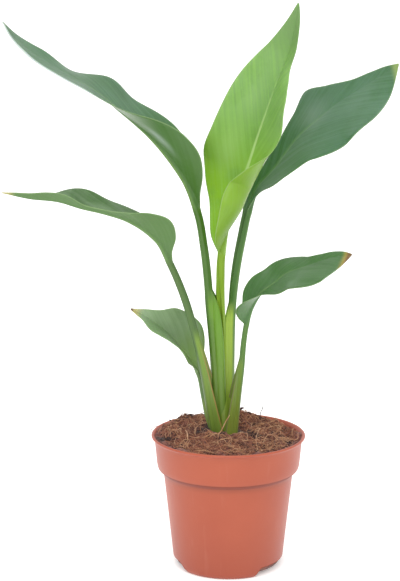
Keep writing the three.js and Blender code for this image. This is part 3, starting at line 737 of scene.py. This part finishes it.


# A leaf's waxy cuticle over green flesh: satin, so it takes broad cool lights, with soft
# streaks along its slanting veins, a paler midrib and margin, a fresher green near its
# neck, a yellower sheath whose margin has dried, a tip that has yellowed or dried, and
# pale patches of painted highlight.
def waxyCuticle(name, finish):
    material, tree, shader = newMaterial(name, {
        "IOR": 1.48, "Specular IOR Level": finish["specular"], "Subsurface Weight": 0.12,
        "Subsurface Scale": 1.2 * mm, "Subsurface Radius": (0.5, 1, 0.2),
        "Sheen Weight": finish["sheen"], "Sheen Roughness": 0.4,
        "Sheen Tint": toLinear("#DDE8E0"),
    })
    place = addNode(tree, "TexCoord").outputs["Object"]
    read = {
        key: addNode(tree, "Attribute", attribute_name=key).outputs["Fac"]
        for key in ("place", "share", "edge", "midrib", "tip", "vein", "rib", "under", "bloom")
    }
    patches = addNode(tree, "TexNoise", {"Vector": place, "Scale": 1 / (22 * mm), "Detail": 3})
    mottle = addNode(tree, "TexNoise", {"Vector": place, "Scale": 1 / (2.5 * mm), "Detail": 3})
    # Streaks run out along the veins, so their noise is stretched that way.
    outwards = addNode(tree, "Math", {0: read["rib"], 1: 0.12}, operation="MULTIPLY")
    slanted = addNode(tree, "CombineXYZ", {
        "X": read["vein"], "Y": outwards.outputs["Value"],
    }).outputs["Vector"]
    fine = addNode(tree, "TexNoise", {
        "Vector": slanted, "Scale": 1 / 2.2, "Detail": 2,
    }, noise_dimensions="2D")
    broad = addNode(tree, "TexNoise", {
        "Vector": slanted, "Scale": 1 / 7, "Detail": 2,
    }, noise_dimensions="2D")
    lines = addNode(tree, "TexNoise", {
        "W": read["rib"], "Scale": 1 / 0.9, "Detail": 2,
    }, noise_dimensions="1D")
    # Masks: what each one reads, where it starts, where it is full and how much it covers.
    masks = {}
    for key, source, start, end, most in (
        ("base", read["place"], *finish["baseReach"], 0.9),
        ("dark", patches.outputs["Fac"], 0.45, 0.7, 0.5),
        ("mottled", mottle.outputs["Fac"], 0.5, 0.75, 0.15),
        ("veins", fine.outputs["Fac"], 0.4, 0.7, 0.2),
        ("streaks", broad.outputs["Fac"], 0.4, 0.7, 0.3),
        ("grooves", lines.outputs["Fac"], 0.4, 0.7, 0.2),
        ("midrib", read["midrib"], 0.1, 0.7, finish["midrib"]),
        ("nearNeck", read["place"], 0.75, 0.35, 1),
        ("margin", read["edge"], 0.7, 0.2, 0.35),
        ("stalk", read["place"], 0.03, -0.02, 1),
        ("aside", read["midrib"], 0.6, 0.15, 1),
        ("sheathed", read["share"], 0.0, 0.12, 1),
        ("reach", read["edge"], finish["membraneReach"], finish["membraneReach"] * 0.5, 1),
        ("sheath", read["share"], 0.15, 0.7, 0.85),
        ("under", read["under"], 0.45, 0.55, 0.7),
        ("dry", read["edge"], 0.9, 0.2, finish["dry"]),
        ("below", read["share"], 0.1, 0.3, 1),
        # Painted highlight: pale patches in the highlight tint.
        ("highlighted", read["bloom"], 0.0, 1.0, 1),
        ("tip", read["tip"], finish["tipReach"], finish["tipReach"] * 0.3, 0.9),
        ("spot", read["tip"], finish["spotReach"], finish["spotReach"] * 0.4 - 0.01, 0.8),
    ):
        masks[key] = addNode(tree, "MapRange", {
            "Value": source, "From Min": start, "From Max": end, "To Min": 0, "To Max": most,
        }, interpolation_type="SMOOTHSTEP").outputs["Result"]
    for key, first, second in (
        ("dryMargin", "dry", "below"), ("stalkGrooves", "grooves", "stalk"),
        ("paleMidrib", "midrib", "nearNeck"), ("inner", "aside", "sheathed"),
        ("membrane", "inner", "reach"),
    ):
        masks[key] = addNode(tree, "Math", {
            0: masks[first], 1: masks[second],
        }, operation="MULTIPLY").outputs["Value"]
    colour = toLinear(finish["flesh"])
    for cover, share in (
        (finish["base"], "base"), (finish["dark"], "dark"), (finish["light"], "mottled"),
        (finish["light"], "veins"), (finish["light"], "streaks"), (finish["under"], "under"),
        (finish["rib"], "paleMidrib"), ("#93AA78", "margin"), (finish["stalk"], "stalk"),
        (finish["membrane"], "membrane"), (finish["sheathFoot"], "sheath"),
        ("#7F9A48", "stalkGrooves"), (finish["dryTint"], "dryMargin"),
        (finish["tip"], "tip"), ("#5A3426", "spot"), (finish["highlightTint"], "highlighted"),
    ):
        colour = addNode(tree, "MixRGB", {
            "Fac": masks[share], "Color1": colour, "Color2": toLinear(cover),
        }).outputs["Color"]
    gloss = addNode(tree, "MapRange", {
        "Value": mottle.outputs["Fac"], "To Min": 0.3, "To Max": 0.44,
    })
    relief = addNode(tree, "Math", {
        0: fine.outputs["Fac"], 1: broad.outputs["Fac"],
    }, operation="ADD")
    bump = addNode(tree, "Bump", {
        "Height": relief.outputs["Value"], "Strength": 0.5, "Distance": 0.15 * mm,
    })
    tree.links.new(colour, shader.inputs["Base Color"])
    tree.links.new(gloss.outputs["Result"], shader.inputs["Roughness"])
    tree.links.new(bump.outputs["Normal"], shader.inputs["Normal"])
    return material


for number, (node, leaf) in enumerate(leaves.items()):
    words = node.split("_")
    name = words[0] + "".join(word.capitalize() for word in words[1:])
    material = waxyCuticle("waxyCuticle" + name[4:], leaf["finish"])
    mesh = leafMesh(name, leaf, leafForm["layerGap"] * number)
    makePiece(name, mesh, material, node)
print("leaves lofted:", len(leaves))

# The potting mix is coir, higher at the back left, with clods, fibres and crumbs.
mix = {
    "seed": 20,
    "level": 102.6,
    "slope": 3,              # rise towards the back left, over the next length
    "slopeLength": 70,
    "slopeRange": (-0.2, 0.8),
    "clump": (-4.3, 3.5),    # middle of the clump of stalks
    # Places where it is banked up or hollow: x, y, height and how far each spreads.
    "tufts": ((-4.3, 3.5, 4.6, 900), (12, 41, 7, 60), (-34, 43, 2.5, 30), (-46, 32, 2, 25),
              (-14, -7, 1.5, 60), (-19, 1, -2, 30), (14, 5, -1.5, 40)),
    # Dark places, of wet coir and of painted shade in the hollows and under the leaves: x, y and
    # radius.
    "damp": ((-19, 1, 8), (-14, 10, 8), (15, 5, 9), (8, 1, 5), (-6, -10, 5), (-49, -12, 8),
             (46, -16, 7), (20, -6, 6)),
    "shadedDampFade": (0.5, 1.2),  # they fade out between these shares of their radius
    "radius": 58,
    "rimLevel": 103.6,       # highest that it stands against the wall
    "repose": 0.75,          # slope of its banks near the wall
    "gap": 0.4,              # how far it stays off the wall
    "topFrom": 100,          # points above this height are on the top
    "rings": 88,
    "sides": 340,
    "weld": 0.01,
    "clods": ((11, 0.9), (4.5, 0.8), (1.9, 0.5)),   # size across and height of each kind
    "clodSwing": 1.6,        # how far the noise swings for a clod's height
    "clodFractal": (1, 2, 2),    # its fading, step in size and octaves
    "clodLayer": 3,          # each kind of clod has a layer of noise of its own
    # Ripples: how many, and the least and the spread of their radians per mm and heights.
    "ripples": 14,
    "ripplePitch": (0.12, 0.5),
    "rippleSize": (0.2, 0.25),
}


# The same draw every time, from a seed, by a rule that the CAD source shares.
def drawFrom(seed):
    factor, addend, range32 = 1664525, 1013904223, 2**32
    state = seed
    while True:
        state = (state * factor + addend) % range32
        yield state / range32


def makeRipples():
    draw = drawFrom(mix["seed"])
    leastPitch, pitchSpread = mix["ripplePitch"]
    leastSize, sizeSpread = mix["rippleSize"]
    return [
        (leastPitch + pitchSpread * next(draw), 2 * math.pi * next(draw),
         2 * math.pi * next(draw), leastSize + sizeSpread * next(draw))
        for _ in range(mix["ripples"])
    ]


ripples = makeRipples()


def mixHeight(x, y):
    leaning = clamp((y - x) / mix["slopeLength"], *mix["slopeRange"])
    height = mix["level"] + mix["slope"] * leaning
    for atX, atY, size, spread in mix["tufts"]:
        height += size * math.exp(-math.dist((x, y), (atX, atY)) ** 2 / spread)
    for pitch, turn, phase, size in ripples:
        height += size * math.sin(pitch * (x * math.cos(turn) + y * math.sin(turn)) + phase)
    return height


def clodHeight(x, y):
    height = 0
    for i, (across, size) in enumerate(mix["clods"]):
        spot = Vector((x, y, mix["clodLayer"] * i)) / across
        height += size * mix["clodSwing"] * noise.fractal(spot, *mix["clodFractal"])
    return height


# The top of the mix with its clods, which slopes down to the rim where it is banked up.
def surfaceHeight(x, y):
    bank = mix["rimLevel"] + mix["repose"] * (mix["radius"] - math.hypot(x, y))
    return min(mixHeight(x, y) + clodHeight(x, y), bank)


# How dark a place is, from 0 to 1: wet coir and painted shade.
def shadedDampShare(x, y):
    inner, outer = mix["shadedDampFade"]
    return max(
        1 - easeStep(math.dist((x, y), (atX, atY)), inner * radius, outer * radius)
        for atX, atY, radius in mix["damp"]
    )


# Half of the section of the mix, down the inside of the pot's wall to its floor.
def mixOutline():
    wall = [(r - mix["gap"], z) for r, z in potOutline()[1][3:7]]
    return [(0, mix["level"]), (mix["radius"], mix["level"]), *wall, (0, wall[-1][1])]


# The widest that the mix can be at a height without touching the pot.
def mixLimit(height):
    lip = potOutline()[1][:4][::-1]
    return (wallRadius(lip, height) or lip[-1][0]) - mix["gap"]


def mixMesh():
    bm = bmesh.new()
    corners = [bm.verts.new((r * mm, 0, z * mm)) for r, z in mixOutline()]
    edges = [bm.edges.new(pair) for pair in zip(corners, corners[1:])]
    bmesh.ops.subdivide_edges(bm, edges=edges[:1], cuts=mix["rings"])   # the top alone
    bmesh.ops.spin(
        bm, geom=bm.verts[:] + bm.edges[:], cent=(0, 0, 0), axis=(0, 0, 1),
        angle=2 * math.pi, steps=mix["sides"], use_merge=True, use_duplicate=False,
    )
    bmesh.ops.remove_doubles(bm, verts=bm.verts, dist=mix["weld"] * mm)
    for vert in bm.verts:
        if vert.co.z > mix["topFrom"] * mm:
            x, y = vert.co.x / mm, vert.co.y / mm
            height = surfaceHeight(x, y)
            away = math.hypot(x, y)
            if away > mixLimit(height):
                vert.co.xy *= mixLimit(height) / away
            vert.co.z = height * mm
    damp = bm.verts.layers.float.new("damp")
    for vert in bm.verts:
        vert[damp] = shadedDampShare(vert.co.x / mm, vert.co.y / mm)
    bmesh.ops.recalc_face_normals(bm, faces=bm.faces)
    return meshOf("coirMix", bm)


# Coir, the short brown fibre and dust of coconut husk: dull and rough, with painted shade in
# its hollows and under the leaves, from purplish brown where it is wet to tan on the dry
# clods. It takes the stops of its colours, the size of its patches in mm and how dark its wet places
# are.
def coirMaterial(name, stops, patchSize, dark):
    material, tree, shader = newMaterial(name, {
        "Roughness": 0.92, "Specular IOR Level": 0.25, "Sheen Weight": 0.15,
    })
    place = addNode(tree, "TexCoord").outputs["Object"]
    patches = addNode(tree, "TexNoise", {
        "Vector": place, "Scale": 1 / (patchSize * mm), "Detail": 6, "Roughness": 0.7,
    })
    cloud = addNode(tree, "TexNoise", {"Vector": place, "Scale": 1 / (16 * mm), "Detail": 2})
    wet = addNode(tree, "MapRange", {
        "Value": cloud.outputs["Fac"], "From Min": 0.52, "From Max": 0.68, "To Max": dark,
    }, interpolation_type="SMOOTHSTEP")
    # Painted shade in the hollows and under the leaves, and wet coir, darken the mix.
    damp = addNode(tree, "Attribute", attribute_name="damp")
    share = addNode(tree, "Math", {
        0: wet.outputs["Result"], 1: damp.outputs["Fac"],
    }, operation="MAXIMUM")
    colour = addNode(tree, "ValToRGB", {"Fac": patches.outputs["Fac"]}, stops=stops)
    colour = addNode(tree, "MixRGB", {
        "Fac": share.outputs["Value"], "Color1": colour.outputs["Color"],
        "Color2": toLinear("#32211E"),
    })
    bump = addNode(tree, "Bump", {
        "Height": patches.outputs["Fac"], "Strength": 0.8, "Distance": 0.5 * mm,
    })
    tree.links.new(colour.outputs["Color"], shader.inputs["Base Color"])
    tree.links.new(bump.outputs["Normal"], shader.inputs["Normal"])
    return material


dust = {
    "stops": [(0.3, "#3C2224"), (0.5, "#6E433A"), (0.72, "#A26E5A")],
    "patchSize": 3,
    "dark": 0.6,
}
makePiece("coirMix", mixMesh(), coirMaterial("coirDust", **dust), "potting_mix")
print("potting mix filled in")

# Three kinds of fibre lie on the mix: counts, lengths and half thicknesses in millimetres,
# how far they arch off the surface and the stops of their colours.
fibreKinds = {
    "coirFibresBrown": {"count": 1700, "length": (6, 19), "half": (0.12, 0.26), "arch": 2,
                        "stops": [(0.3, "#653A2D"), (0.5, "#955F47"), (0.7, "#B68262")],
                        "dark": 0.3},
    "coirFibresStraw": {"count": 620, "length": (7, 24), "half": (0.14, 0.26), "arch": 2.4,
                        "stops": [(0.3, "#A06C4C"), (0.5, "#BC8C68"), (0.7, "#D0AA88")],
                        "dark": 0.0},
    "coirFibresDark": {"count": 900, "length": (4, 13), "half": (0.14, 0.34), "arch": 1.4,
                       "stops": [(0.3, "#231417"), (0.5, "#392020"), (0.7, "#513029")],
                       "dark": 0.6},
}
fibreForm = {
    "seed": 41,
    "points": 8,             # points of a loose fibre, and of one that stands out
    "finePoints": 32,
    "patchSize": 5,
    "bend": 1.3,             # most that it turns from end to end, in radians
    "sway": 0.3,             # and how far it swings to and fro
    "curls": (2, 6),         # fewest and most half turns of that swing
    "leastArch": -0.2,       # some fibres dip in a little
    "sink": 0.1,             # how deep the ends lie in the mix
    "clear": 13,             # radius round the clump of stalks that stays free
    "reach": 54.5,           # how far from the pot's axis a fibre starts
    "past": 0.8,             # and how far past that it may end
    "darkest": 0.6,          # light fibres don't lie on places darker than this
    "endShare": 0.35,        # thickness at its ends as a share of its middle's
}

# Fibres that stand out: half thickness, and points as x, y and height above the mix.
singleFibres = {
    "coirFibresStraw": [
        (0.42, [(1, -10, 17), (-2, -10.5, 10), (-5.5, -11, 4), (-8, -14, 1.2), (-8.5, -22, 0.8),
                (-6.5, -34, 1.2), (-4.5, -45, 0.2)]),
        (0.5, [(-35, 8, 0.5), (-33, -2, 2), (-31.6, -14, 2.4), (-31.4, -30, 0.3)]),
        (0.3, [(22, -32, 0), (21, -20, 1.5), (22, -8, 2), (25, 2, 2), (28, 7, 0)]),
        (0.3, [(26, -29, 0), (27, -20, 2), (31, -8, 2.5), (36, -6, 1), (39, -9, 0)]),
        (0.4, [(20, -45, 0), (25, -36, 1.5), (30, -36, 1.8), (34, -42, 0)]),
        (0.35, [(-30, -32, 0), (-25, -38, 1), (-18, -43, 1.4), (-10, -48, 0)]),
        (0.3, [(0, -37, 0), (6, -38, 1.2), (14, -41, 0)]),
    ],
    "coirFibresDark": [
        (0.34, [(26, 44, 0), (26.5, 44, 5), (28, 43, 9), (28.5, 43, 13)]),
        (0.7, [(-43, 31, -0.5), (-45, 33, 1), (-46.5, 34, 3.2)]),
        (0.9, [(-39, 39, -0.6), (-37, 40, 1.1), (-34.5, 41, -0.3)]),
        (1, [(-36, 41, -0.6), (-34, 42, 1.6), (-31.5, 42, -0.3)]),
        (0.8, [(-33, 42, -0.6), (-30, 42, 1.1), (-27, 42, -0.3)]),
        (0.4, [(-36, 42, 0), (-36.6, 42.4, 2.4), (-36, 42.6, 4.2)]),
        (1, [(9, 42, -0.6), (10.5, 42, 1.8), (12.5, 42, 3.4)]),
        (0.8, [(15, 42, -0.6), (17.5, 42, 1.3), (20.5, 42, -0.3)]),
    ],
    "coirFibresBrown": [
        (0.24, [(-50, 22, 0), (-56, 25, 2.5), (-61, 28, 2.8), (-63, 30, 3.6)]),
        (0.3, [(12, 40, 0), (13, 41, 4), (14, 41, 7)]),
        (0.3, [(17, 41, 0), (20, 40, 3), (23, 39, 5)]),
    ],
}


# The points of a fibre that lies on the mix, drawn again until it lies clear.
def fibrePoints(draw, kind):
    while True:
        off = fibreForm["reach"] * math.sqrt(draw.random())
        turn = draw.uniform(0, 2 * math.pi)
        x, y = off * math.cos(turn), off * math.sin(turn)
        heading = draw.uniform(0, 2 * math.pi)
        bend = draw.uniform(-1, 1) * fibreForm["bend"]
        length = draw.uniform(*kind["length"])
        arch = draw.uniform(fibreForm["leastArch"], kind["arch"])
        curl = draw.uniform(*fibreForm["curls"])
        points = []
        for k in range(fibreForm["points"]):
            s = k / (fibreForm["points"] - 1)
            z = surfaceHeight(x, y) + arch * math.sin(math.pi * s) - fibreForm["sink"]
            points.append(Vector((x, y, z)))
            step = length / fibreForm["points"]
            now = heading + bend * s + fibreForm["sway"] * math.sin(curl * s * math.pi)
            x += step * math.cos(now)
            y += step * math.sin(now)
        clear = all(
            math.hypot(p.x, p.y) < fibreForm["reach"] + fibreForm["past"]
            and math.dist(p.xy, mix["clump"]) > fibreForm["clear"]
            for p in points
        )
        middle = points[len(points) // 2]
        isDark = kind["dark"] > 0.5
        if clear and (isDark or shadedDampShare(middle.x, middle.y) < fibreForm["darkest"]):
            return points


def fibreMesh(name, kind, draw):
    curve = bpy.data.curves.new(name, "CURVE")
    curve.dimensions = "3D"
    curve.bevel_depth = mm
    curve.bevel_resolution = 0
    curve.use_fill_caps = True
    rows = [(draw.uniform(*kind["half"]), fibrePoints(draw, kind)) for _ in range(kind["count"])]
    for half, route in singleFibres[name]:
        keys = [
            (i / (len(route) - 1), x, y, surfaceHeight(x, y) + up)
            for i, (x, y, up) in enumerate(route)
        ]
        count = fibreForm["finePoints"]
        rows.append((half, [Vector(smoothRow(keys, i / (count - 1))) for i in range(count)]))
    for half, points in rows:
        spline = curve.splines.new("POLY")
        spline.points.add(len(points) - 1)
        for i, (target, point) in enumerate(zip(spline.points, points)):
            s = i / (len(points) - 1)
            target.co = (*(point * mm), 1)
            target.radius = half * lerp(
                fibreForm["endShare"], 1, math.sin(math.pi * lerp(0.1, 0.9, s)),
            )
    stand = bpy.data.objects.new(name + "Line", curve)
    mesh = bpy.data.meshes.new_from_object(stand)
    bpy.data.objects.remove(stand)
    mesh.name = name
    mesh.shade_smooth()
    return mesh


fibreDraw = random.Random(fibreForm["seed"])
for name, kind in fibreKinds.items():
    material = coirMaterial(name.replace("coirFibres", "coirFibre"), kind["stops"],
                            fibreForm["patchSize"], kind["dark"])
    makePiece(name, fibreMesh(name, kind, fibreDraw), material, "potting_mix")
print("fibres laid on the mix")

# The studio has a pale floor, white surroundings and soft lights.
studio = {
    "floor": "#FAFAF9",
    "floorGlow": 0.25,       # the floor glows with light of its own, which lights the pot from below and fades its shadows
    "floorSize": 40,         # metres
    "world": 1.0,            # strength of the white surroundings
    "key": 1.2,              # strength of the broad light from above the camera
    "keyTurn": (40, 0, -8),
    "keySpread": 50,         # degrees across, so its shadows are soft
    "lamps": {
        # name: (place in metres, size in metres, power in watts)
        "frontSoftbox": ((0.1, -1.3, 1.1), 0.7, 2),
        "topSoftbox": ((-0.1, 0.2, 1.6), 0.8, 4),
    },
    "aim": (0, 0, 0.25),     # the point that the lamps face
}

bm = bmesh.new()
bmesh.ops.create_grid(bm, x_segments=1, y_segments=1, size=studio["floorSize"] / 2)
floor = bpy.data.objects.new("studioFloor", meshOf("studioFloor", bm))
bpy.context.scene.collection.objects.link(floor)
acrylic = newMaterial("backdropAcrylic", {
    "Base Color": toLinear(studio["floor"]), "Roughness": 0.9, "Specular IOR Level": 0.1,
    "Emission Color": (1, 1, 1, 1), "Emission Strength": studio["floorGlow"],
})[0]
floor.data.materials.append(acrylic)

world = bpy.data.worlds.new("studioSurround")
world.use_nodes = True
surround = world.node_tree.nodes["Background"]
surround.inputs["Color"].default_value = (1, 1, 1, 1)
surround.inputs["Strength"].default_value = studio["world"]
bpy.context.scene.world = world

keyData = bpy.data.lights.new("keyLight", "SUN")
keyData.energy = studio["key"]
keyData.angle = math.radians(studio["keySpread"])
key = bpy.data.objects.new("keyLight", keyData)
key.rotation_euler = [math.radians(turn) for turn in studio["keyTurn"]]
bpy.context.scene.collection.objects.link(key)

for name, (place, size, power) in studio["lamps"].items():
    lampData = bpy.data.lights.new(name, "AREA")
    lampData.size = size
    lampData.energy = power
    lamp = bpy.data.objects.new(name, lampData)
    lamp.location = place
    lamp.rotation_euler = (Vector(studio["aim"]) - Vector(place)).to_track_quat("-Z", "Y").to_euler()
    bpy.context.scene.collection.objects.link(lamp)
bpy.context.scene.view_settings.view_transform = "Standard"
print("studio lit")
